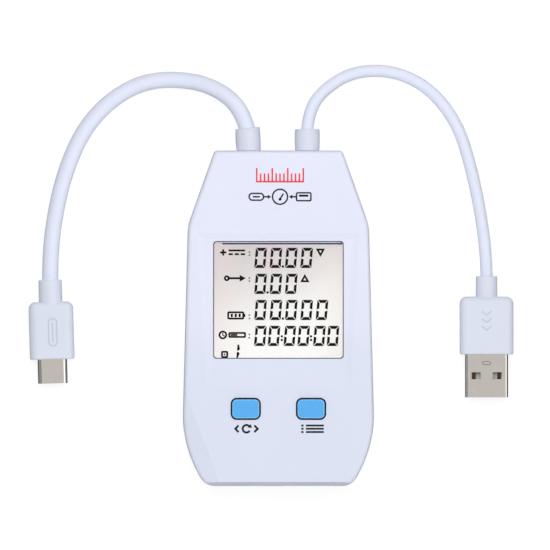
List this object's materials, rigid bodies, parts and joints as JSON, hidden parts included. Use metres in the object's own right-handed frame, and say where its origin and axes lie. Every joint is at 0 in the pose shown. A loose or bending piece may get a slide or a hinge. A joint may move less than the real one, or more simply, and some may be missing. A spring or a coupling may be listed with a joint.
{
  "type": "usb power meter",
  "caption": "Hand-held in-line USB power meter: white two-part case with a square display, blue keys and short plug-ended leads.",
  "frame": {"origin": "middle of the case's flat back face, with the meter lying on its back", "axes": "+Z out of the display, +Y towards the end that the leads leave, +X to the right of the display"},
  "size_m": [0.1355, 0.1183, 0.0183],
  "materials": {
    "case_plastic": "fine satin moulded ABS, cool white",
    "key_plastic": "satin blue moulded keys with a rounded edge",
    "window_clear": "clear acrylic window",
    "glass_sheet": "thin display glass",
    "polariser_film": "neutral polarising film",
    "segment_black": "opaque switched liquid crystal",
    "seal_epoxy": "grey glue line",
    "guide_white": "milky light guide",
    "holder_white": "white moulded frame",
    "zebra_rubber": "layered conductive silicone",
    "board_green": "green solder mask",
    "package_black": "moulded epoxy package",
    "component_tan": "sintered ceramic body",
    "inductor_grey": "pressed ferrite",
    "led_phosphor": "white LED package",
    "solder_tin": "tinned terminals",
    "screw_steel": "zinc-plated steel",
    "shell_nickel": "nickel-plated sheet steel",
    "contact_gold": "gold-plated copper alloy",
    "insulator_white": "white insulator",
    "insulator_black": "black insulator",
    "jacket_white": "smooth white cable jacket",
    "relief_white": "soft moulded white strain relief",
    "plug_white": "fine satin moulded grip",
    "wire_insulation": "coloured hook-up wire"
  },
  "bodies": {
    "meter": {"front_cover": "case_plastic", "rear_cover": "case_plastic", "case_screws": "screw_steel", "display_window": "window_clear", "lcd_front_polariser": "polariser_film", "lcd_front_glass": "glass_sheet", "lcd_cell_seal": "seal_epoxy", "lcd_segments": "segment_black", "lcd_rear_glass": "glass_sheet", "lcd_rear_polariser": "polariser_film", "light_guide": "guide_white", "backlight_leds": "led_phosphor", "lcd_holder": "holder_white", "zebra_strip": "zebra_rubber", "mode_switch_body": "package_black", "read_switch_body": "package_black", "switch_leads": "solder_tin", "main_board": "board_green", "controller_chip": "package_black", "controller_leads": "solder_tin", "protocol_chip": "package_black", "protocol_leads": "solder_tin", "current_shunts": "package_black", "ceramic_capacitors": "component_tan", "crystal": "solder_tin", "power_inductor": "inductor_grey", "usb_a_socket_shell": "shell_nickel", "usb_a_socket_tongue": "insulator_white", "usb_a_socket_contacts": "contact_gold", "usb_c_socket_shell": "shell_nickel", "usb_c_socket_tongue": "insulator_black", "usb_c_socket_contacts": "contact_gold", "type_c_gland": "relief_white", "usb_a_gland": "relief_white", "type_c_lead_wires": "wire_insulation", "usb_a_lead_wires": "wire_insulation", "type_c_cord": "jacket_white", "usb_a_cord": "jacket_white", "type_c_plug_sleeve": "relief_white", "type_c_plug_body": "plug_white", "type_c_plug_shell": "shell_nickel", "type_c_plug_insert": "insulator_black", "type_c_plug_contacts": "contact_gold", "usb_a_plug_sleeve": "relief_white", "usb_a_plug_body": "plug_white", "usb_a_plug_shell": "shell_nickel", "usb_a_plug_insert": "insulator_white", "usb_a_plug_contacts": "contact_gold"},
    "mode_button": {"mode_button": "key_plastic"},
    "read_button": {"read_button": "key_plastic"},
    "mode_plunger": {"mode_switch_plunger": "package_black"},
    "read_plunger": {"read_switch_plunger": "package_black"}
  },
  "joints": [
    {"name": "mode_press", "type": "slide", "parent": "meter", "child": "mode_button", "axis": [0, 0, -1], "range_m": [0, 0.0005], "stiffness_N_per_m": 600, "springref_m": -0.0003},
    {"name": "read_press", "type": "slide", "parent": "meter", "child": "read_button", "axis": [0, 0, -1], "range_m": [0, 0.0005], "stiffness_N_per_m": 600, "springref_m": -0.0003},
    {"name": "mode_switch_press", "type": "slide", "parent": "meter", "child": "mode_plunger", "axis": [0, 0, -1], "range_m": [0, 0.0005], "stiffness_N_per_m": 60},
    {"name": "read_switch_press", "type": "slide", "parent": "meter", "child": "read_plunger", "axis": [0, 0, -1], "range_m": [0, 0.0005], "stiffness_N_per_m": 60}
  ],
  "couplings": [
    {"joint": "mode_switch_press", "follows": "mode_press", "ratio": 1},
    {"joint": "read_switch_press", "follows": "read_press", "ratio": 1}
  ]
}
